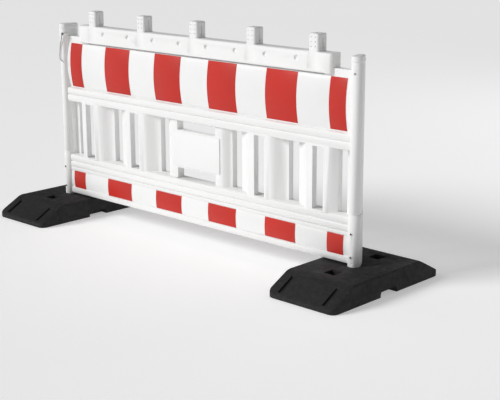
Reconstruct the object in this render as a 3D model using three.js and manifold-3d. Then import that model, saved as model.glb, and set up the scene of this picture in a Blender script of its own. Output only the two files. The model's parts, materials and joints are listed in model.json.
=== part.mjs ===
// Portable traffic barrier: one moulded panel with striped sheeting, standing on two rubber footplates.
// Millimetres, +Z up, X along the barrier, front towards -Y, ground at Z = 0.
import * as THREE from 'three';
import { mergeVertices } from 'three/addons/utils/BufferGeometryUtils.js';
import Module from 'manifold-3d';

const wasm = await Module();
wasm.setup();
const { Manifold } = wasm;

// ---- driving dimensions -------------------------------------------------------------------
const GAP = 0.3;                 // clearance between neighbouring pieces
const PANEL_Z = 112;             // underside of the panel above the ground
const BAND_HALF = 1000;          // half length of the sheeting
const STRIPE_EDGES = [           // red blocks, 200 wide with half blocks at both ends
  [-999.5, -900], [-700, -500], [-300, -100], [100, 300], [500, 700], [900, 999.5],
];
const MOULD_WALL = 5;            // wall of the hollow moulding
const HALF_THICK = 40;           // half thickness of rails and top beam
const BODY_HALF = 1030;          // half length of rails and bands
const BEAM_HALF = 915;           // half length of the top beam

const LOWER_BAND = { z0: 36, z1: 135, edge: 34, bulge: 5 };
const UPPER_BAND = { z0: 625, z1: 871, edge: 20, bulge: 15 };
const FILM = 0.7;                // thickness of one sheeting layer

const SLOT_Z = [224, 540];       // openings of the infill, above the panel underside
const SLOT_X = [268, 462, 650, 840];
const SLOT_WIDTH = 66;
const END_SLOT = { x: 962, width: 46 };
const WALL = 32;                 // thickness of the corrugated infill
const GRIP = { half: 140, low: [226, 289], high: [485, 540] };
const FIELD_HALF = 184;          // half width of the central name field
const FIELD_Y = 22;

const GROOVE_Z = [873, 881];
const BEAM_Z = [881, 976];
const TOWER_X = [-800, -400, 0, 400, 800];
const TOWER = { width: 60, depth: 68, height: 82, radius: 13 };
const NICHE = { top: 40, bottom: 54, z0: 894, depth: 5 };
const DIMPLE_X = [100, 300, 500, 700];
const DIMPLE = { radius: 13, z: 939, depth: 9 };

const POST = { x: 1055, y: -25, radius: 28 };
const REAR = { x: 1033, y: 25, radius: 22 };
const POST_TOP = 950;
const CAP_TOP = 977;
const SEAM_Z = 245;
const SLEEVE_GROW = 2.5;
const SLEEVE_BOTTOM = -6;

const TUBE = { radius: 21, wall: 3 };
const REAR_TUBE = { radius: 16.9, wall: 2.6 };
const TUBE_BOTTOM = -107;
const TUBE_TOP = 205;
const SCREW_Z = [41, 154];
const SCREW = { radius: 2.6, head: 5.2, headHeight: 3, seat: 7.5 };
const FRONT_SCREW = { x: 1058, bearing: -56, tip: -36 };   // planes where the head bears and the screw ends
const REAR_SCREW = { x: 1033, bearing: 50.5, tip: 34 };

const PLATE = { x: 1044, y: 0, width: 400, length: 800, height: 105, brim: 26 };

// ---- small helpers ------------------------------------------------------------------------
const materials = {
  white: new THREE.MeshStandardMaterial({ name: 'matte_plastic', color: 0xf2f3f1, roughness: 0.5 }),
  film: new THREE.MeshStandardMaterial({ name: 'gloss_plastic_white', color: 0xe9ecee, roughness: 0.35 }),
  red: new THREE.MeshStandardMaterial({ name: 'gloss_plastic_red', color: 0xc8322c, roughness: 0.35 }),
  steel: new THREE.MeshStandardMaterial({ name: 'brushed_steel', color: 0x9fa3a6, metalness: 0.9, roughness: 0.45 }),
  dark: new THREE.MeshStandardMaterial({ name: 'dark_steel', color: 0x4a4c4e, metalness: 0.9, roughness: 0.5 }),
  rubber: new THREE.MeshStandardMaterial({ name: 'rubber', color: 0x26272a, roughness: 0.9 }),
};

const AXIS = {
  x: new THREE.Vector3(1, 0, 0),
  y: new THREE.Vector3(0, 1, 0),
  z: new THREE.Vector3(0, 0, 1),
};

const group = new THREE.Group();
group.name = 'traffic_barrier';

function toGeometry(solid) {
  const mesh = solid.getMesh();
  const geometry = new THREE.BufferGeometry();
  const positions = new Float32Array(mesh.vertProperties);
  geometry.setAttribute('position', new THREE.BufferAttribute(positions, 3));
  geometry.setIndex(new THREE.BufferAttribute(new Uint32Array(mesh.triVerts), 1));
  const merged = mergeVertices(geometry);
  merged.computeVertexNormals();
  return merged;
}

function toSolid(geometry) {
  geometry.deleteAttribute('normal');
  geometry.deleteAttribute('uv');
  const merged = mergeVertices(geometry, 1e-4);
  return new Manifold(new wasm.Mesh({
    numProp: 3,
    vertProperties: new Float32Array(merged.attributes.position.array),
    triVerts: new Uint32Array(merged.index.array),
  }));
}

function addPart(name, solid, material) {
  const mesh = new THREE.Mesh(toGeometry(solid), material);
  mesh.name = name;
  group.add(mesh);
}

function unionAll(solids) {
  return Manifold.union(solids);
}

function mirrorX(solid) {
  const geometry = toGeometry(solid).scale(-1, 1, 1);
  const index = geometry.index.array;
  for (let i = 0; i < index.length; i += 3) {
    [index[i], index[i + 1]] = [index[i + 1], index[i]];
  }
  return toSolid(geometry);
}

function box(x0, x1, y0, y1, z0, z1) {
  const geometry = new THREE.BoxGeometry(x1 - x0, y1 - y0, z1 - z0);
  return toSolid(geometry.translate((x0 + x1) / 2, (y0 + y1) / 2, (z0 + z1) / 2));
}

function cylinderZ(x, y, z0, z1, radius, segments = 32, topRadius = radius) {
  const geometry = new THREE.CylinderGeometry(topRadius, radius, z1 - z0, segments);
  return toSolid(geometry.rotateX(Math.PI / 2).translate(x, y, (z0 + z1) / 2));
}

function cylinderY(x, z, y0, y1, radius, segments = 24, endRadius = radius) {
  const geometry = new THREE.CylinderGeometry(endRadius, radius, y1 - y0, segments);
  return toSolid(geometry.translate(x, (y0 + y1) / 2, z));
}

function prism(shape, depth, curveSegments = 3) {
  return new THREE.ExtrudeGeometry(shape, { depth, bevelEnabled: false, steps: 1, curveSegments });
}

function outline(points) {
  return new THREE.Shape(points.map(([a, b]) => new THREE.Vector2(a, b)));
}

// outline in (y, z), carried along X
function extrudeX(points, x0, x1) {
  const turn = new THREE.Matrix4().makeBasis(AXIS.y, AXIS.z, AXIS.x);
  return toSolid(prism(outline(points), x1 - x0).applyMatrix4(turn).translate(x0, 0, 0));
}

// shape in (x, z), carried along Y
function extrudeY(shape, y0, y1) {
  const turn = new THREE.Matrix4().makeBasis(AXIS.x, AXIS.z, AXIS.y.clone().negate());
  return toSolid(prism(shape, y1 - y0).applyMatrix4(turn).translate(0, y1, 0));
}

// outline in (x, y), carried along Z
function extrudeZ(points, z0, z1) {
  return toSolid(prism(outline(points), z1 - z0).translate(0, 0, z0));
}

function roundedShape(a0, a1, b0, b1, radius) {
  const shape = new THREE.Shape();
  shape.absarc(a1 - radius, b0 + radius, radius, -Math.PI / 2, 0, false);
  shape.absarc(a1 - radius, b1 - radius, radius, 0, Math.PI / 2, false);
  shape.absarc(a0 + radius, b1 - radius, radius, Math.PI / 2, Math.PI, false);
  shape.absarc(a0 + radius, b0 + radius, radius, Math.PI, Math.PI * 1.5, false);
  return shape;
}

function roundedBox(x0, x1, y0, y1, z0, z1, radius) {
  const shape = roundedShape(x0, x1, y0, y1, radius);
  return toSolid(prism(shape, z1 - z0).translate(0, 0, z0));
}

// closed skin through rings of equal point count, each ring convex
function loft(rings) {
  const count = rings[0].length;
  const positions = rings.flat(2);
  const index = [];
  for (let r = 0; r < rings.length - 1; r += 1) {
    for (let i = 0; i < count; i += 1) {
      const a = r * count + i;
      const b = r * count + (i + 1) % count;
      index.push(a, b, b + count, a, b + count, a + count);
    }
  }
  const last = (rings.length - 1) * count;
  for (let i = 1; i < count - 1; i += 1) {
    index.push(0, i + 1, i);
    index.push(last, last + i, last + i + 1);
  }
  const geometry = new THREE.BufferGeometry();
  geometry.setAttribute('position', new THREE.Float32BufferAttribute(positions, 3));
  geometry.setIndex(index);
  return toSolid(geometry);
}

function roundedRing(halfX, halfY, radius, z) {
  const points = roundedShape(-halfX, halfX, -halfY, halfY, radius).getPoints(3);
  return points.map((point) => [point.x, point.y, z]);
}

function smoothStep(t) {
  const k = Math.min(Math.max(t, 0), 1);
  return k * k * (3 - 2 * k);
}

// front surface of a sheeting band, grown outward by `grow`
function bandLine(band, z0, z1, grow, steps = 8) {
  const middle = (band.z0 + band.z1) / 2;
  const half = (band.z1 - band.z0) / 2 + 4;
  const line = [];
  for (let i = 0; i <= steps; i += 1) {
    const z = z0 + (z1 - z0) * i / steps;
    const t = (z - middle) / half;
    line.push([band.edge + grow + band.bulge * (1 - t * t), z]);
  }
  return line;
}

// rounded bead from z0 to z1 with its crest at `reach`
function beadLine(z0, z1, reach, depth, steps = 6) {
  const line = [];
  for (let i = 0; i <= steps; i += 1) {
    const angle = Math.PI * i / steps;
    const z = (z0 + z1) / 2 - (z1 - z0) / 2 * Math.cos(angle);
    line.push([reach - depth * (1 - Math.sin(angle) ** 0.6), z]);
  }
  return line;
}

function twoSided(line) {
  const right = line.map(([y, z]) => [y, z + PANEL_Z]);
  const left = line.map(([y, z]) => [-y, z + PANEL_Z]).reverse();
  return [...right, ...left];
}

// ---- panel moulding -----------------------------------------------------------------------
function lowerBody() {
  const line = [
    [30, 0], [36, 3], [HALF_THICK - 1, 9], [HALF_THICK - 1, LOWER_BAND.z0 - 3],
    ...bandLine(LOWER_BAND, LOWER_BAND.z0 - 2.5, LOWER_BAND.z1 + 2.5, 0),
    [HALF_THICK - 1, LOWER_BAND.z1 + 3], [HALF_THICK - 1, 153], [35, 155],
    ...beadLine(156, 190, HALF_THICK, 8),
    ...beadLine(190.5, 228, HALF_THICK, 8),
    [20, 229],
  ];
  return extrudeX(twoSided(line), -BODY_HALF, BODY_HALF);
}

function upperBody() {
  const line = [
    [20, 536], [HALF_THICK - 8, 538],
    ...beadLine(538.5, 579, HALF_THICK, 9),
    ...beadLine(579.5, 618, HALF_THICK, 9),
    [24, 619.5],
    ...bandLine(UPPER_BAND, UPPER_BAND.z0 - 3, UPPER_BAND.z1 + 2, 0, 14),
    [9, GROOVE_Z[0]], [9, GROOVE_Z[1] + 6],
  ];
  return extrudeX(twoSided(line), -BODY_HALF, BODY_HALF);
}

const WAVE_KNOTS = [
  [0, -FIELD_Y], [FIELD_HALF, -FIELD_Y], [236, 8], [300, 8], [400, -HALF_THICK], [520, -HALF_THICK],
  [616, 8], [684, 8], [780, -HALF_THICK], [900, -HALF_THICK], [962, 4], [1020, 4],
];

function waveFront(x) {
  const at = Math.abs(x);
  for (let i = 1; i < WAVE_KNOTS.length; i += 1) {
    const [x0, y0] = WAVE_KNOTS[i - 1];
    const [x1, y1] = WAVE_KNOTS[i];
    if (at <= x1) {
      return y0 + (y1 - y0) * smoothStep((at - x0) / (x1 - x0));
    }
  }
  return WAVE_KNOTS[WAVE_KNOTS.length - 1][1];
}

function waveBack(x) {
  const at = Math.abs(x);
  if (at <= FIELD_HALF) {
    return FIELD_Y;
  }
  if (at <= 236) {
    return FIELD_Y + (HALF_THICK - FIELD_Y) * smoothStep((at - FIELD_HALF) / (236 - FIELD_HALF));
  }
  return Math.min(waveFront(x) + WALL, HALF_THICK);
}

function infill() {
  const stations = new Set([0]);
  for (let i = 1; i < WAVE_KNOTS.length; i += 1) {
    const [x0, y0] = WAVE_KNOTS[i - 1];
    const [x1, y1] = WAVE_KNOTS[i];
    const steps = y0 === y1 ? 1 : 7;
    for (let k = 0; k <= steps; k += 1) {
      stations.add(x0 + (x1 - x0) * k / steps);
    }
  }
  const right = [...stations].sort((a, b) => a - b);
  const all = [...right.slice(1).reverse().map((x) => -x), ...right];
  const front = all.map((x) => [x, waveFront(x)]);
  const back = all.map((x) => [x, waveBack(x)]).reverse();
  return extrudeZ([...front, ...back], PANEL_Z + 222, PANEL_Z + 545);
}

function openings() {
  const cuts = [];
  for (const side of [-1, 1]) {
    for (const x of SLOT_X) {
      cuts.push(box(
        side * x - SLOT_WIDTH / 2, side * x + SLOT_WIDTH / 2, -60, 60,
        PANEL_Z + SLOT_Z[0] + 6, PANEL_Z + SLOT_Z[1] - 4,
      ));
    }
    const end = side * END_SLOT.x;
    cuts.push(box(
      end - END_SLOT.width / 2, end + END_SLOT.width / 2, -60, 60,
      PANEL_Z + SLOT_Z[0] + 6, PANEL_Z + SLOT_Z[1] - 4,
    ));
  }
  for (const [z0, z1] of [GRIP.low, GRIP.high]) {
    cuts.push(box(-GRIP.half, GRIP.half, -60, 60, PANEL_Z + z0, PANEL_Z + z1 - 4));
  }
  return unionAll(cuts);
}

function beam() {
  const [z0, z1] = BEAM_Z;
  const line = [
    [30, z0], [HALF_THICK - 2, z0 + 1.5], [HALF_THICK, z0 + 5], [HALF_THICK, z1 - 15],
    [HALF_THICK - 2, z1 - 7], [HALF_THICK - 6, z1 - 2], [HALF_THICK - 12, z1],
  ];
  const bar = extrudeX(twoSided(line), -BEAM_HALF, BEAM_HALF);
  const plan = roundedBox(
    -BEAM_HALF, BEAM_HALF, -HALF_THICK - 1, HALF_THICK + 1, PANEL_Z + z0 - 1, PANEL_Z + z1 + 1, 22,
  );
  return bar.intersect(plan);
}

// shallow recess under a tower, flaring towards its foot
function niche(x, face) {
  const base = HALF_THICK - NICHE.depth;
  const section = (z, half, depth, flank) => [
    [x - half, base + NICHE.depth - depth, z], [x + half, base + NICHE.depth - depth, z],
    [x + half + flank, HALF_THICK + 3, z], [x - half - flank, HALF_THICK + 3, z],
  ].map(([px, py, pz]) => [px, face * py, pz]);
  const z0 = PANEL_Z + NICHE.z0;
  const rings = [
    section(z0 - 8, NICHE.bottom / 2, -1, 6),
    section(z0 + 10, NICHE.bottom / 2 - 3, NICHE.depth, 12),
    section(PANEL_Z + BEAM_Z[1] + 5, NICHE.top / 2, NICHE.depth, 12),
  ];
  return loft(face > 0 ? rings : rings.map((ring) => [...ring].reverse()));
}

function beamCuts() {
  const cuts = [];
  for (const face of [-1, 1]) {
    for (const side of [-1, 1]) {
      for (const x of DIMPLE_X) {
        const inner = HALF_THICK - DIMPLE.depth;
        const outer = HALF_THICK + 2;
        const dimple = face < 0
          ? cylinderY(side * x, PANEL_Z + DIMPLE.z, -outer, -inner, DIMPLE.radius + 1, 18, DIMPLE.radius - 4)
          : cylinderY(side * x, PANEL_Z + DIMPLE.z, inner, outer, DIMPLE.radius - 4, 18, DIMPLE.radius + 1);
        cuts.push(dimple);
      }
    }
    for (const x of TOWER_X) {
      cuts.push(niche(x, face));
    }
  }
  return unionAll(cuts);
}

function towers() {
  const solids = [];
  const holes = [];
  for (const x of TOWER_X) {
    const z0 = PANEL_Z + BEAM_Z[1] - 2;
    const z1 = PANEL_Z + BEAM_Z[1] + TOWER.height;
    const halfW = TOWER.width / 2;
    const halfD = TOWER.depth / 2;
    solids.push(roundedBox(x - halfW, x + halfW, -halfD, halfD, z0, z1 - 4, TOWER.radius));
    solids.push(roundedBox(x - halfW + 3, x + halfW - 3, -halfD + 3, halfD - 3, z1 - 5, z1, TOWER.radius - 3));
    holes.push(cylinderZ(x, 0, z1 - 60, z1 + 1, 9.5, 24));
    for (const face of [-1, 1]) {
      for (const dx of [-13, 13]) {
        for (const dz of [24, 46, 68]) {
          const y0 = face < 0 ? -halfD - 1 : halfD - 9;
          holes.push(cylinderY(x + dx, z0 + dz, y0, y0 + 10, 3.3, 6));
        }
      }
    }
    for (const side of [-1, 1]) {
      const x0 = side < 0 ? x - halfW - 1 : x + halfW - 6;
      holes.push(box(x0, x0 + 7, -5, 5, z0 + 14, z1 - 16));
    }
  }
  return { solids, holes };
}

// outline around the two round lobes of a post, joined by their common tangents
function lobedShape(grow) {
  const front = POST.radius + grow;
  const rear = REAR.radius + grow;
  const dx = REAR.x - POST.x;
  const dy = REAR.y - POST.y;
  const heading = Math.atan2(dy, dx);
  const spread = Math.acos((front - rear) / Math.hypot(dx, dy));
  const shape = new THREE.Shape();
  shape.absarc(POST.x, POST.y, front, heading + spread, heading - spread + 2 * Math.PI, false);
  shape.absarc(REAR.x, REAR.y, rear, heading - spread, heading + spread, false);
  return shape;
}

function lobedPlan(grow, z0, z1) {
  return toSolid(prism(lobedShape(grow), z1 - z0, 8).translate(0, 0, z0));
}

function postBody() {
  const z0 = PANEL_Z + SEAM_Z + GAP;
  const z1 = PANEL_Z + POST_TOP - GAP;
  const column = lobedPlan(0, z0, z1);
  const stile = box(BODY_HALF - 12, POST.x - 12, -FIELD_Y, FIELD_Y, PANEL_Z + SEAM_Z + GAP, PANEL_Z + 884);
  const arm = roundedBox(BEAM_HALF - 60, POST.x, -20, 20, PANEL_Z + 872, PANEL_Z + 908, 12);
  const spigot = cylinderZ(POST.x, POST.y, z1 - 1, PANEL_Z + POST_TOP + 14, 16, 24);
  return unionAll([column, stile, arm, spigot]);
}

// room for the sleeve that takes the foot tubes
function sleeveCut() {
  return lobedPlan(SLEEVE_GROW + GAP, PANEL_Z - 20, PANEL_Z + SEAM_Z);
}

// the moulding is hollow; its chambers join up and drain through holes in the underside
function chambers() {
  const wall = MOULD_WALL;
  const length = BODY_HALF - 2 * wall;
  const low = [
    [24, wall], [33, wall + 7], [33, 31], ...bandLine(LOWER_BAND, 33.5, 137.5, -wall, 4),
    [33, 149], [30, 156], [33, 173], [27, 190], [33, 208], [22, 221],
  ];
  const rails = [[22, 544], [32, 558], [26, 579], [32, 599], [18, 613], [12, 622]];
  const band = [[12, 600], [12, 626], ...bandLine(UPPER_BAND, 628, 866, -wall, 8), [4.5, 868], [4.5, 892]];
  const top = box(-BEAM_HALF + 22, BEAM_HALF - 22, -29, 29, PANEL_Z + 886, PANEL_Z + 971);
  const field = box(-FIELD_HALF + 8, FIELD_HALF - 8, -8, 8, PANEL_Z + 296, PANEL_Z + 474);
  const drains = [-760, -380, 380, 760].map((x) => cylinderZ(x, 0, PANEL_Z - 1, PANEL_Z + 12, 6, 12));
  const fieldDrain = cylinderZ(0, 0, PANEL_Z + 282, PANEL_Z + 300, 5, 12);
  const runs = [low, rails].map((line) => extrudeX(twoSided(line), -length, length));
  const crown = extrudeX(twoSided(band), -820, 820);
  return unionAll([...runs, crown, top, field, ...drains, fieldDrain]);
}

function waveChambers() {
  const wall = MOULD_WALL;
  const cells = [[308, 422], [502, 610], [690, 800], [880, 932]].map(([x0, x1]) => {
    const xs = Array.from({ length: 7 }, (_, i) => x0 + (x1 - x0) * i / 6);
    const front = xs.map((x) => [x, waveFront(x) + wall + 1.5]);
    const back = xs.map((x) => [x, waveBack(x) - wall - 1.5]).reverse();
    return extrudeZ([...front, ...back], PANEL_Z + 212, PANEL_Z + 552);
  });
  const right = unionAll(cells);
  return unionAll([right, mirrorX(right)]);
}

function postChamber() {
  const column = lobedPlan(-6, PANEL_Z + SEAM_Z + 8, PANEL_Z + 868);
  const vent = cylinderZ(POST.x, POST.y, PANEL_Z + SEAM_Z - 1, PANEL_Z + SEAM_Z + 12, 6, 12);
  return unionAll([column, vent]);
}

function panel() {
  const tower = towers();
  const right = postBody();
  const solids = [lowerBody(), upperBody(), infill(), beam(), right, mirrorX(right), ...tower.solids];
  const sleeveRoom = sleeveCut();
  const postRoom = postChamber();
  const cuts = [
    openings(), beamCuts(), ...tower.holes, sleeveRoom, mirrorX(sleeveRoom), plateScrewHoles(),
    catchHole(), chambers(), waveChambers(), postRoom, mirrorX(postRoom),
  ];
  return unionAll([unionAll(solids).subtract(unionAll(cuts)), mirrorX(hookBoss())]).subtract(mirrorX(pinHole()));
}

// ---- post cap -----------------------------------------------------------------------------
function cap() {
  const z0 = PANEL_Z + POST_TOP;
  const height = CAP_TOP - POST_TOP;
  const skirt = lobedPlan(1.5, z0, z0 + 10);
  const round = 8;
  const crown = new THREE.ExtrudeGeometry(lobedShape(0.2), {
    depth: height - 2 * round, steps: 1, curveSegments: 8,
    bevelThickness: round, bevelSize: round, bevelOffset: -round, bevelSegments: 3,
  });
  const recess = cylinderZ(POST.x, POST.y, z0 - 1, z0 + 14 + 2 * GAP, 16 + GAP, 24);
  return unionAll([skirt, toSolid(crown.translate(0, 0, z0 + round))]).subtract(recess);
}

// ---- sleeve and foot tubes ----------------------------------------------------------------
function tubeBores(z0, z1, grow) {
  return unionAll([
    cylinderZ(POST.x, POST.y, z0, z1, TUBE.radius + grow, 32),
    cylinderZ(REAR.x, REAR.y, z0, z1, REAR_TUBE.radius + grow, 28),
  ]);
}

// from the outside in, at both heights, for the front and the rear tube
function screwHoles() {
  const radius = SCREW.radius + GAP;
  return unionAll(SCREW_Z.flatMap((z) => [
    cylinderY(FRONT_SCREW.x, PANEL_Z + z, FRONT_SCREW.bearing - 4, FRONT_SCREW.tip + 1, radius, 12),
    cylinderY(REAR_SCREW.x, PANEL_Z + z, REAR_SCREW.tip - 1, REAR_SCREW.bearing + 4, radius, 12),
  ]));
}

// low round pads give every screw head a flat seat
function sleeve() {
  const z0 = PANEL_Z + SLEEVE_BOTTOM;
  const shell = lobedPlan(SLEEVE_GROW, z0, PANEL_Z + SEAM_Z - GAP);
  const pads = SCREW_Z.flatMap((z) => [
    cylinderY(FRONT_SCREW.x, PANEL_Z + z, FRONT_SCREW.bearing, FRONT_SCREW.bearing + 8, SCREW.seat, 16),
    cylinderY(REAR_SCREW.x, PANEL_Z + z, REAR_SCREW.bearing - 6, REAR_SCREW.bearing, SCREW.seat, 16),
  ]);
  const mark = cylinderY(POST.x + 8, PANEL_Z + 12, POST.y - 34, POST.y - 26, 4.5, 16);
  return unionAll([shell, ...pads])
    .subtract(tubeBores(z0 - 1, PANEL_Z + TUBE_TOP + 2, GAP))
    .subtract(screwHoles())
    .subtract(mark);
}

function footTube(spec, x, y) {
  const z0 = PANEL_Z + TUBE_BOTTOM;
  const z1 = PANEL_Z + TUBE_TOP;
  const bore = cylinderZ(x, y, z0 - 1, z1 + 1, spec.radius - spec.wall, 32);
  return cylinderZ(x, y, z0, z1, spec.radius, 32).subtract(bore).subtract(screwHoles());
}

function frontScrew(z) {
  const { x, bearing, tip } = FRONT_SCREW;
  const height = PANEL_Z + z;
  const face = bearing - GAP;
  const top = face - SCREW.headHeight;
  const head = cylinderY(x, height, top, face, SCREW.head - 1.2, 20, SCREW.head);
  const shank = cylinderY(x, height, face - 1, tip, SCREW.radius, 12);
  return unionAll([head, shank]).subtract(cylinderY(x, height, top - 1, top + 2, 2.4, 6));
}

function rearScrew(z) {
  const { x, bearing, tip } = REAR_SCREW;
  const height = PANEL_Z + z;
  const face = bearing + GAP;
  const top = face + SCREW.headHeight;
  const head = cylinderY(x, height, face, top, SCREW.head, 20, SCREW.head - 1.2);
  const shank = cylinderY(x, height, tip, face + 1, SCREW.radius, 12);
  return unionAll([head, shank]).subtract(cylinderY(x, height, top - 2, top + 1, 2.4, 6));
}

// ---- sheeting -----------------------------------------------------------------------------
function sheet(band, x0, x1, inner, face, inset = 0) {
  const z0 = band.z0 + inset;
  const z1 = band.z1 - inset;
  const steps = band.bulge > 10 ? 12 : 6;
  const outside = bandLine(band, z0, z1, inner + FILM, steps);
  const inside = bandLine(band, z0, z1, inner, steps).reverse();
  const line = [...outside, ...inside].map(([y, z]) => [face * y, z + PANEL_Z]);
  const outline = face < 0 ? line.reverse() : line;
  return extrudeX(outline, x0, x1);
}

function addSheeting() {
  const bands = { lower: LOWER_BAND, upper: UPPER_BAND };
  const faces = { front: -1, back: 1 };
  for (const [level, band] of Object.entries(bands)) {
    for (const [name, face] of Object.entries(faces)) {
      addPart(`sheeting_${level}_${name}`, sheet(band, -BAND_HALF, BAND_HALF, GAP, face), materials.film);
      STRIPE_EDGES.forEach(([x0, x1], i) => {
        const stripe = sheet(band, x0, x1, GAP + FILM + GAP, face, 0.5);
        addPart(`stripe_${level}_${name}_${i + 1}`, stripe, materials.red);
      });
    }
  }
}

// ---- name plates --------------------------------------------------------------------------
const NAME_PLATE = { half: 174, z0: 293, z1: 477, thick: 5, screwX: 160, screwZ: [305, 465] };

function namePlate(face) {
  const y0 = face < 0 ? -FIELD_Y - GAP - NAME_PLATE.thick : FIELD_Y + GAP;
  const y1 = y0 + NAME_PLATE.thick;
  const { half, z0, z1 } = NAME_PLATE;
  const slab = extrudeY(roundedShape(-half, half, PANEL_Z + z0, PANEL_Z + z1, 6), y0, y1);
  const pegs = [];
  for (const x of [-NAME_PLATE.screwX, NAME_PLATE.screwX]) {
    for (const z of NAME_PLATE.screwZ) {
      const p0 = face < 0 ? -FIELD_Y - 2 : FIELD_Y - 10;
      pegs.push(cylinderY(x, PANEL_Z + z, p0, p0 + 12, 3, 16));
    }
  }
  return unionAll([slab, ...pegs]);
}

function plateScrewHoles() {
  const holes = [];
  for (const x of [-NAME_PLATE.screwX, NAME_PLATE.screwX]) {
    for (const z of NAME_PLATE.screwZ) {
      holes.push(cylinderY(x, PANEL_Z + z, -FIELD_Y - 5, -FIELD_Y + 11, 3 + GAP, 16));
      holes.push(cylinderY(x, PANEL_Z + z, FIELD_Y - 11, FIELD_Y + 5, 3 + GAP, 16));
    }
  }
  return unionAll(holes);
}

// ---- coupling: wire hook on the left post, hole for a neighbour's hook in the right post ---
const HOOK = { x: 1033, z: 921, plane: -58.5, wire: 2.2, eye: 7.5, eyeHalf: 2.2 };
const HOOK_PIN = { radius: 3, head: 6.5, headHeight: 2.5, tip: -24 };
const BOSS = { radius: 9, face: -55.8 };
const CATCH = { x: 1062, z: 898, radius: 6.5 };

function sweep(points, radius, segments) {
  const curve = new THREE.CatmullRomCurve3(points, false, 'centripetal');
  const shape = new THREE.Shape();
  shape.absarc(0, 0, radius, 0, Math.PI * 2, false);
  return toSolid(new THREE.ExtrudeGeometry(shape, {
    steps: segments, extrudePath: curve, bevelEnabled: false, curveSegments: 4,
  }));
}

// the hook hangs from its pin in front of the post; drawn on the right and mirrored to the left end
function couplingHook() {
  const { x, z, plane, wire, eye, eyeHalf } = HOOK;
  const ring = cylinderY(x, PANEL_Z + z, plane - eyeHalf, plane + eyeHalf, eye, 24);
  const path = [
    [x + 3.5, z + 3], [x + 7, z - 6], [x + 10, z - 22], [x + 13, z - 38], [x + 20, z - 56],
    [x + 26, z - 92], [x + 30, z - 136], [x + 28, z - 146], [x + 20, z - 152], [x - 2, z - 160],
  ].map(([px, pz]) => new THREE.Vector3(px, plane, PANEL_Z + pz));
  const bore = cylinderY(x, PANEL_Z + z, plane - 6, plane + 6, HOOK_PIN.radius + GAP, 20);
  return unionAll([ring, sweep(path, wire, 36)]).subtract(bore);
}

function hookBoss() {
  return cylinderY(HOOK.x, PANEL_Z + HOOK.z, BOSS.face, POST.y - 4, BOSS.radius, 24);
}

function pinHole() {
  return cylinderY(HOOK.x, PANEL_Z + HOOK.z, BOSS.face - 2, HOOK_PIN.tip + 1, HOOK_PIN.radius + GAP, 20);
}

function hookPin() {
  const { radius, head, headHeight, tip } = HOOK_PIN;
  const under = HOOK.plane - HOOK.eyeHalf - GAP;
  const cap = cylinderY(HOOK.x, PANEL_Z + HOOK.z, under - headHeight, under, head - 1, 24, head);
  return unionAll([cap, cylinderY(HOOK.x, PANEL_Z + HOOK.z, under - 1, tip, radius, 20)]);
}

function catchHole() {
  return cylinderY(CATCH.x, PANEL_Z + CATCH.z, POST.y - POST.radius - 5, POST.y - 8, CATCH.radius, 20);
}

// ---- rubber footplate ---------------------------------------------------------------------
const END_SLOPE = { outer: 6, inner: 150 };      // where the ends start and stop sloping, from the tip
const GROOVE = { x: 132, outer: 16, inner: 116, half: 12, depth: 10 };
const ARCH = { half: 62, height: 30, depth: 48 };

function footplate() {
  const { width, length, height, brim } = PLATE;
  const halfW = width / 2;
  const halfL = length / 2;
  const block = loft([
    roundedRing(halfW - 3, halfL - 3, 33, 0),
    roundedRing(halfW, halfL, 36, 3),
    roundedRing(halfW, halfL, 36, brim),
    roundedRing(halfW - 5, halfL - 3, 34, height - 8),
    roundedRing(halfW - 13, halfL - 11, 30, height),
  ]);
  const past = 4;
  const rise = (height - brim) / (END_SLOPE.inner - END_SLOPE.outer);
  const end = [
    [halfL + 1, -1], [halfL + 1, brim - 5], [halfL - END_SLOPE.outer, brim],
    [halfL - END_SLOPE.inner - past, height + past * rise],
  ];
  const wedge = extrudeX([...end, ...end.map(([y, z]) => [-y, z]).reverse()], -halfW - 1, halfW + 1);
  const cuts = [];
  for (const sx of [-1, 1]) {
    for (const sy of [-1, 1]) {
      cuts.push(slantedGroove(sx, sy));
    }
    cuts.push(sideArch(sx));
  }
  for (const sy of [-1, 1]) {
    cuts.push(box(-31, 31, sy * 165 - 31, sy * 165 + 31, -1, height + 1));
  }
  cuts.push(cylinderZ(POST.x - PLATE.x, POST.y, -1, height + 1, TUBE.radius + 0.8, 32));
  cuts.push(cylinderZ(REAR.x - PLATE.x, REAR.y, -1, height + 1, REAR_TUBE.radius + 0.8, 28));
  return block.intersect(wedge).subtract(unionAll(cuts));
}

function slopeHeight(y) {
  const { length, height, brim } = PLATE;
  const inFromTip = length / 2 - Math.abs(y) - END_SLOPE.outer;
  return brim + (height - brim) * inFromTip / (END_SLOPE.inner - END_SLOPE.outer);
}

function slantedGroove(sx, sy) {
  const ends = [PLATE.length / 2 - GROOVE.outer, PLATE.length / 2 - GROOVE.inner];
  const rings = ends.map((y) => {
    const floor = slopeHeight(y) - GROOVE.depth;
    const { half } = GROOVE;
    const section = [[-half, floor], [half, floor], [half + 5, floor + 40], [-half - 5, floor + 40]];
    return section.map(([dx, z]) => [sx * GROOVE.x + dx, sy * y, z]);
  });
  return loft(sy > 0 ? rings : rings.reverse());
}

// low arch in the middle of each long side, to get fingers or a fork under the plate
function sideArch(sx) {
  const { half, height, depth } = ARCH;
  const right = [[half, -1], [half, height - 14], [half - 4, height - 5], [half - 12, height]];
  const line = [...right, ...right.map(([y, z]) => [-y, z]).reverse()];
  const edge = PLATE.width / 2;
  return sx > 0 ? extrudeX(line, edge - depth, edge + 2) : extrudeX(line, -edge - 2, -edge + depth);
}

// ---- assembly -----------------------------------------------------------------------------
addPart('panel', panel(), materials.white);
addSheeting();
addPart('name_plate_front', namePlate(-1), materials.film);
addPart('name_plate_back', namePlate(1), materials.film);

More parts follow.
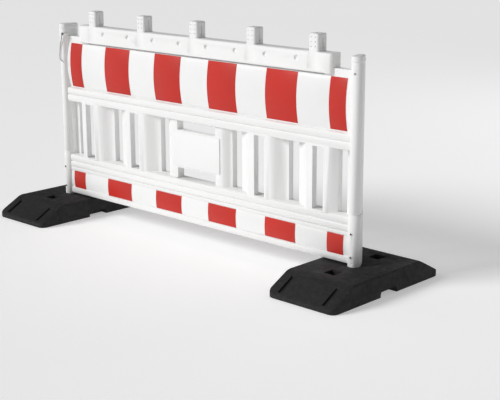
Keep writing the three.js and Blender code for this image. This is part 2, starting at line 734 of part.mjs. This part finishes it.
for (const [side, place] of [['left', mirrorX], ['right', (solid) => solid]]) {
  addPart(`post_cap_${side}`, place(cap()), materials.white);
  addPart(`sleeve_${side}`, place(sleeve()), materials.white);
  addPart(`foot_tube_${side}`, place(footTube(TUBE, POST.x, POST.y)), materials.steel);
  addPart(`rear_tube_${side}`, place(footTube(REAR_TUBE, REAR.x, REAR.y)), materials.steel);
  SCREW_Z.forEach((z, i) => {
    addPart(`front_screw_${side}_${i + 1}`, place(frontScrew(z)), materials.dark);
    addPart(`rear_screw_${side}_${i + 1}`, place(rearScrew(z)), materials.dark);
  });
  const onSpot = toSolid(toGeometry(footplate()).translate(PLATE.x, PLATE.y, 0));
  addPart(`footplate_${side}`, place(onSpot), materials.rubber);
}

addPart('coupling_hook', mirrorX(couplingHook()), materials.steel);
addPart('hook_pin', mirrorX(hookPin()), materials.steel);

export default group;
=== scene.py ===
"""Portable traffic barrier on two rubber footplates: looks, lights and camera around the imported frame."""
import json
import math

import bpy
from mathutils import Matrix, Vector

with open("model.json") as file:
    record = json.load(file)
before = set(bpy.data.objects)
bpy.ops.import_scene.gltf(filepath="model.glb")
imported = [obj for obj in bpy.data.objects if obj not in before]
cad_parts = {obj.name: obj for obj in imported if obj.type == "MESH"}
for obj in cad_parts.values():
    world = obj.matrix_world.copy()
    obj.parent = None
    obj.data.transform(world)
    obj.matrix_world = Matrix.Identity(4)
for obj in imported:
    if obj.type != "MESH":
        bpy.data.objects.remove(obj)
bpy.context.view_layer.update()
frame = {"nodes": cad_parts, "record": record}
NODES = frame["nodes"]

PARTING_HALF = 0.0005            # half width of the seam left by the two mould halves
SHARP_EDGE = (0.52, 0.6)         # pointiness from flat to fully rubbed

# ---- camera: the photograph's own viewpoint, solved from its vanishing points ------------------
CAMERA_PLACE = Vector((4.3168, -4.1557, 1.7685))
CAMERA_AZIMUTH = math.radians(42.57)
CAMERA_ELEVATION = math.radians(14.37)
CAMERA_LENS = 84.66
CAMERA_SHIFT = -0.04             # keeps the footplates inside the frame
CAMERA_SENSOR = 36
CAMERA_REACH = 200

scene = bpy.context.scene
scene.view_settings.view_transform = "Standard"
scene.view_settings.look = "None"


def make_camera():
    data = bpy.data.cameras.new("camera")
    data.lens = CAMERA_LENS
    data.sensor_width = CAMERA_SENSOR
    data.shift_x = CAMERA_SHIFT
    data.clip_end = CAMERA_REACH
    camera = bpy.data.objects.new("camera", data)
    scene.collection.objects.link(camera)
    back = Vector((
        math.sin(CAMERA_AZIMUTH) * math.cos(CAMERA_ELEVATION),
        -math.cos(CAMERA_AZIMUTH) * math.cos(CAMERA_ELEVATION),
        math.sin(CAMERA_ELEVATION),
    ))
    camera.location = CAMERA_PLACE
    camera.rotation_mode = "QUATERNION"
    camera.rotation_quaternion = (-back).to_track_quat("-Z", "Y")
    scene.camera = camera


# ---- node helpers --------------------------------------------------------------------------------
class Shader:
    """A small writer for one material's node tree."""

    def __init__(self, name):
        self.material = bpy.data.materials.new(name)
        self.material.use_nodes = True
        self.tree = self.material.node_tree
        self.base = self.tree.nodes["Principled BSDF"]
        self.place = self.tree.nodes.new("ShaderNodeTexCoord").outputs["Object"]

    def node(self, kind, **settings):
        made = self.tree.nodes.new(kind)
        for key, value in settings.items():
            setattr(made, key, value)
        return made

    def link(self, source, target):
        self.tree.links.new(source, target)

    def noise(self, scale, detail=4.0, rough=0.55, distort=0.0, stretch=(1, 1, 1)):
        mapping = self.node("ShaderNodeMapping")
        mapping.inputs["Scale"].default_value = stretch
        self.link(self.place, mapping.inputs["Vector"])
        made = self.node("ShaderNodeTexNoise")
        made.inputs["Scale"].default_value = scale
        made.inputs["Detail"].default_value = detail
        made.inputs["Roughness"].default_value = rough
        made.inputs["Distortion"].default_value = distort
        self.link(mapping.outputs["Vector"], made.inputs["Vector"])
        return made.outputs["Fac"]

    def cells(
        self, scale, feature="F1", output="Distance", stretch=(1, 1, 1), turn=0.0, scatter=1.0
    ):
        mapping = self.node("ShaderNodeMapping")
        mapping.inputs["Scale"].default_value = stretch
        mapping.inputs["Rotation"].default_value = (0, turn, 0)
        self.link(self.place, mapping.inputs["Vector"])
        made = self.node("ShaderNodeTexVoronoi", feature=feature)
        made.inputs["Scale"].default_value = scale
        made.inputs["Randomness"].default_value = scatter
        self.link(mapping.outputs["Vector"], made.inputs["Vector"])
        return made.outputs[output]

    def ramp(self, source, low, high, start=0.0, end=1.0):
        made = self.node("ShaderNodeMapRange")
        made.inputs["From Min"].default_value = low
        made.inputs["From Max"].default_value = high
        made.inputs["To Min"].default_value = start
        made.inputs["To Max"].default_value = end
        self.link(source, made.inputs["Value"])
        return made.outputs["Result"]

    def blend(self, factor, first, second, mode="MIX"):
        made = self.node("ShaderNodeMix", data_type="RGBA", blend_type=mode)
        for value, socket in ((factor, 0), (first, 6), (second, 7)):
            if isinstance(value, bpy.types.NodeSocket):
                self.link(value, made.inputs[socket])
            elif socket == 0:
                made.inputs[0].default_value = value
            else:
                made.inputs[socket].default_value = (*value, 1.0)
        return made.outputs[2]

    def multiply(self, first, second):
        made = self.node("ShaderNodeMath", operation="MULTIPLY")
        for value, socket in ((first, 0), (second, 1)):
            if isinstance(value, bpy.types.NodeSocket):
                self.link(value, made.inputs[socket])
            else:
                made.inputs[socket].default_value = value
        return made.outputs[0]

    def along(self, axis):
        made = self.node("ShaderNodeSeparateXYZ")
        self.link(self.place, made.inputs[0])
        return made.outputs[axis]

    def close_to(self, axis, level):
        made = self.node("ShaderNodeMath", operation="COMPARE")
        self.link(self.along(axis), made.inputs[0])
        made.inputs[1].default_value = level
        made.inputs[2].default_value = PARTING_HALF
        return made.outputs[0]

    def edges(self):
        made = self.node("ShaderNodeNewGeometry")
        return self.ramp(made.outputs["Pointiness"], *SHARP_EDGE)

    def bump(self, source, strength, distance, before=None):
        made = self.node("ShaderNodeBump")
        made.inputs["Strength"].default_value = strength
        made.inputs["Distance"].default_value = distance
        self.link(source, made.inputs["Height"])
        if before is not None:
            self.link(before, made.inputs["Normal"])
        return made.outputs["Normal"]

    def finish(self, color=None, rough=None, normal=None, metal=None):
        inputs = {"Base Color": color, "Roughness": rough, "Normal": normal, "Metallic": metal}
        for name, value in inputs.items():
            if value is None:
                continue
            if isinstance(value, bpy.types.NodeSocket):
                self.link(value, self.base.inputs[name])
            elif name == "Base Color":
                self.base.inputs[name].default_value = (*value, 1.0)
            else:
                self.base.inputs[name].default_value = value
        return self.material


# ---- materials -------------------------------------------------------------------------------------
DUST_FADE = (0.30, 0.10)         # heights between which the road dust comes in, in metres
DIAMOND_SCALE = 170.0            # sheeting diamonds per metre
CRUMB_SCALE = 230.0              # rubber crumbs per metre


def white_plastic(name, clean, shaded):
    """Moulded polyethylene: satin, faint waviness, a breath of road dust low down and a few soft rubs."""
    s = Shader(name)
    cloud = s.noise(3.0, 5.0, 0.6)
    base = s.blend(s.ramp(cloud, 0.35, 0.7), clean, shaded)
    dust_low = s.ramp(s.along("Z"), *DUST_FADE)
    dust_noise = s.ramp(s.noise(9.0, 8.0, 0.65, 0.6), 0.48, 0.72)
    dust = s.multiply(s.multiply(dust_low, dust_noise), 0.12)
    rub = s.ramp(s.noise(26.0, 6.0, 0.7, 1.2, (0.35, 1, 1)), 0.66, 0.76, 0.0, 0.07)
    rubbed = s.blend(rub, base, (0.66, 0.66, 0.64))
    dusty = s.blend(dust, rubbed, (0.56, 0.53, 0.48))
    seam = s.close_to("Y", 0.0)
    color = s.blend(s.multiply(seam, 0.22), dusty, (0.60, 0.60, 0.58))
    rough = s.ramp(s.noise(14.0, 5.0), 0.3, 0.75, 0.40, 0.56)
    fine = s.bump(s.noise(900.0, 3.0), 0.10, 0.0006)
    ridge = s.bump(seam, 0.35, 0.0005, fine)
    wave = s.bump(s.noise(7.0, 2.0), 0.12, 0.003, ridge)
    s.base.inputs["Specular IOR Level"].default_value = 0.35
    return s.finish(color, rough, wave, 0.0)


def sheeting(name, clean, faded):
    """Retroreflective film: a net of small sealed diamonds under a clear face, slightly uneven in tone."""
    s = Shader(name)
    diamonds = s.cells(
        DIAMOND_SCALE, "DISTANCE_TO_EDGE", stretch=(1, 0, 1), turn=math.radians(45), scatter=0.0
    )
    net = s.ramp(diamonds, 0.03, 0.12)
    tone = s.blend(s.ramp(s.noise(5.0, 4.0), 0.35, 0.7), clean, faded)
    color = s.blend(s.ramp(net, 0.0, 1.0, 0.24, 0.0), tone, tuple(c * 0.80 for c in clean))
    rough = s.ramp(s.noise(30.0, 5.0), 0.3, 0.75, 0.36, 0.50)
    normal = s.bump(net, 0.16, 0.0002)
    s.base.inputs["Specular IOR Level"].default_value = 0.28
    return s.finish(color, rough, normal, 0.0)


def zinc(name, light, dark, rough_low, rough_high, spangle):
    """Hot-dip zinc: spangled grains of different tone and a little white bloom."""
    s = Shader(name)
    grains = s.node("ShaderNodeSeparateColor")
    s.link(s.cells(spangle, output="Color"), grains.inputs[0])
    tone = s.blend(s.ramp(grains.outputs[0], 0.1, 0.9), light, dark)
    bloom = s.ramp(s.noise(40.0, 8.0, 0.7), 0.58, 0.74, 0.0, 0.25)
    color = s.blend(bloom, tone, (0.62, 0.62, 0.60))
    rough = s.ramp(grains.outputs[1], 0.0, 1.0, rough_low, rough_high)
    normal = s.bump(s.noise(220.0, 4.0), 0.15, 0.0004)
    return s.finish(color, rough, normal, 0.85)


def rubber():
    """Pressed recycled granulate: near-black crumbs, a trace of grey dust, edges rubbed paler."""
    s = Shader("recycled_rubber")
    crumbs = s.node("ShaderNodeSeparateColor")
    s.link(s.cells(CRUMB_SCALE, output="Color"), crumbs.inputs[0])
    tone = s.blend(s.ramp(crumbs.outputs[0], 0.0, 1.0), (0.008, 0.008, 0.009), (0.017, 0.017, 0.018))
    fleck = s.ramp(crumbs.outputs[1], 0.965, 0.995, 0.0, 0.5)
    flecked = s.blend(fleck, tone, (0.050, 0.049, 0.047))
    dust = s.ramp(s.noise(11.0, 8.0, 0.68, 0.5), 0.48, 0.80, 0.0, 0.16)
    dusty = s.blend(dust, flecked, (0.060, 0.058, 0.055))
    color = s.blend(s.multiply(s.edges(), 0.30), dusty, (0.055, 0.055, 0.055))
    rough = s.ramp(s.noise(35.0, 6.0), 0.3, 0.7, 0.55, 0.80)
    grain = s.bump(s.cells(CRUMB_SCALE), 0.40, 0.0010)
    rolling = s.bump(s.noise(24.0, 5.0), 0.25, 0.0025, grain)
    s.base.inputs["Specular IOR Level"].default_value = 0.30
    return s.finish(color, rough, rolling, 0.0)


MATERIALS = {
    "white_plastic": white_plastic("white_plastic", (0.93, 0.93, 0.925), (0.90, 0.902, 0.895)),
    "name_plate": white_plastic("name_plate", (0.935, 0.935, 0.935), (0.915, 0.915, 0.91)),
    "white_sheeting": sheeting("white_sheeting", (0.935, 0.935, 0.932), (0.905, 0.907, 0.905)),
    "red_sheeting": sheeting("red_sheeting", (0.60, 0.028, 0.018), (0.55, 0.034, 0.024)),
    "zinc_tube": zinc(
        "zinc_tube", (0.48, 0.49, 0.49), (0.41, 0.42, 0.43), 0.38, 0.50, 110.0
    ),
    "zinc_hardware": zinc(
        "zinc_hardware", (0.30, 0.305, 0.31), (0.20, 0.205, 0.21), 0.34, 0.52, 160.0
    ),
    "dark_fastener": zinc(
        "dark_fastener", (0.11, 0.11, 0.12), (0.06, 0.06, 0.065), 0.40, 0.55, 400.0
    ),
    "recycled_rubber": rubber(),
}


# rounding of the edges of each kind of piece, in metres, by the start of its name
EDGE_ROUND = {
    "panel": 0.0022,
    "footplate": 0.005,
    "sleeve": 0.0012,
    "post_cap": 0.0010,
    "name_plate": 0.0010,
    "sheeting": 0.00022,
    "stripe": 0.00022,
    "foot_tube": 0.0008,
    "rear_tube": 0.0006,
    "front_screw": 0.0004,
    "rear_screw": 0.0004,
    "coupling_hook": 0.0005,
    "hook_pin": 0.0005,
}
SKIN_GAP = 0.00002               # points closer than this are one point, in metres
FLAT_ANGLE = math.radians(0.6)   # facets that differ by less are one face
SHARP_ANGLE = math.radians(34)   # edges sharper than this are rounded
ROUND_STEPS = 3


def round_edges(node, radius):
    """Closes the skin, joins its flat facets and rounds what is left sharp."""
    join = node.modifiers.new("closed_skin", "WELD")
    join.merge_threshold = SKIN_GAP
    flat = node.modifiers.new("flat_faces", "DECIMATE")
    flat.decimate_type = "DISSOLVE"
    flat.angle_limit = FLAT_ANGLE
    bevel = node.modifiers.new("edge_round", "BEVEL")
    bevel.width = radius
    bevel.segments = ROUND_STEPS
    bevel.limit_method = "ANGLE"
    bevel.angle_limit = SHARP_ANGLE
    bevel.use_clamp_overlap = True
    bevel.harden_normals = True


def dress_nodes():
    slots = {entry["node"]: entry["material_slot"] for entry in frame["record"]["subparts"]}
    for name, node in NODES.items():
        node.data.materials.clear()
        node.data.materials.append(MATERIALS[slots[name]])
        for face in node.data.polygons:
            face.use_smooth = True
        kind = next(start for start in EDGE_ROUND if name.startswith(start))
        round_edges(node, EDGE_ROUND[kind])


# ---- stage --------------------------------------------------------------------------------------------
STAGE_REACH = 58.0
BACKDROP_HEIGHT = 9.5
BACKDROP_STEPS = 64
BACKDROP_COLOR = 0.02
STAGE_TONE = 0.77                # glow of the backdrop, matched to the lit floor
FLOOR_COLOR = 0.80
FLOOR_GLOW = 0.35
FLOOR_MARGIN = 2                 # how far the floor runs on past the backdrop

WORLD_GLOW = 0.13
KEY_POWER = 2.3
KEY_SPREAD = math.radians(24)
KEY_PLACE = (-3.2, -5.0, 4.6)
KEY_HEADING = (0.45, 0.72, -0.53)
# place, aim, size in metres and power in watts
SIDE_LIGHT = ((5.5, 1.0, 3.0), (0.3, 0, 0.6), (2.5, 2.5), 12)
BACK_LIGHT = ((1.2, 6.0, 3.2), (0, 0, 0.6), (3.0, 2.0), 42)


def add_stage(name, points, faces, color, glow):
    mesh = bpy.data.meshes.new(name)
    mesh.from_pydata(points, [], faces)
    piece = bpy.data.objects.new(name, mesh)
    scene.collection.objects.link(piece)
    material = bpy.data.materials.new(name)
    material.use_nodes = True
    shader = material.node_tree.nodes["Principled BSDF"]
    shader.inputs["Base Color"].default_value = (color, color, color, 1)
    shader.inputs["Emission Color"].default_value = (1, 1, 1, 1)
    shader.inputs["Emission Strength"].default_value = glow
    shader.inputs["Roughness"].default_value = 0.9
    shader.inputs["Specular IOR Level"].default_value = 0.1
    mesh.materials.append(material)
    return piece


def make_floor():
    reach = STAGE_REACH + FLOOR_MARGIN
    corners = [(-reach, -reach, 0), (reach, -reach, 0), (reach, reach, 0), (-reach, reach, 0)]
    add_stage("floor", corners, [(0, 1, 2, 3)], FLOOR_COLOR, FLOOR_GLOW)


def make_backdrop():
    """A low far-off ring, so that a level view meets the same pale tone above the floor.

    It neither lights the floor nor shades it, which would draw a line along the horizon.
    """
    steps = BACKDROP_STEPS
    turns = [2 * math.pi * i / steps for i in range(steps)]
    ring = [(STAGE_REACH * math.cos(turn), STAGE_REACH * math.sin(turn)) for turn in turns]
    points = [(x, y, 0) for x, y in ring] + [(x, y, BACKDROP_HEIGHT) for x, y in ring]
    faces = [(i, (i + 1) % steps, (i + 1) % steps + steps, i + steps) for i in range(steps)]
    ring_piece = add_stage("backdrop", points, faces, BACKDROP_COLOR, STAGE_TONE)
    ring_piece.visible_diffuse = False
    ring_piece.visible_shadow = False


def area_light(name, place, aim, size, power):
    data = bpy.data.lights.new(name, "AREA")
    data.shape = "RECTANGLE"
    data.size, data.size_y = size
    data.energy = power
    light = bpy.data.objects.new(name, data)
    scene.collection.objects.link(light)
    light.location = place
    light.rotation_mode = "QUATERNION"
    light.rotation_quaternion = (Vector(aim) - Vector(place)).to_track_quat("-Z", "Y")


def make_lights():
    world = bpy.data.worlds.new("studio")
    scene.world = world
    world.use_nodes = True
    world.node_tree.nodes["Background"].inputs["Color"].default_value = (1, 1, 1, 1)
    world.node_tree.nodes["Background"].inputs["Strength"].default_value = WORLD_GLOW
    key = bpy.data.lights.new("key", "SUN")
    key.energy = KEY_POWER
    key.angle = KEY_SPREAD
    light = bpy.data.objects.new("key", key)
    scene.collection.objects.link(light)
    light.location = KEY_PLACE
    light.rotation_mode = "QUATERNION"
    light.rotation_quaternion = Vector(KEY_HEADING).to_track_quat("-Z", "Y")
    area_light("side", *SIDE_LIGHT)
    area_light("back", *BACK_LIGHT)


make_camera()
make_floor()
make_backdrop()
make_lights()
dress_nodes()
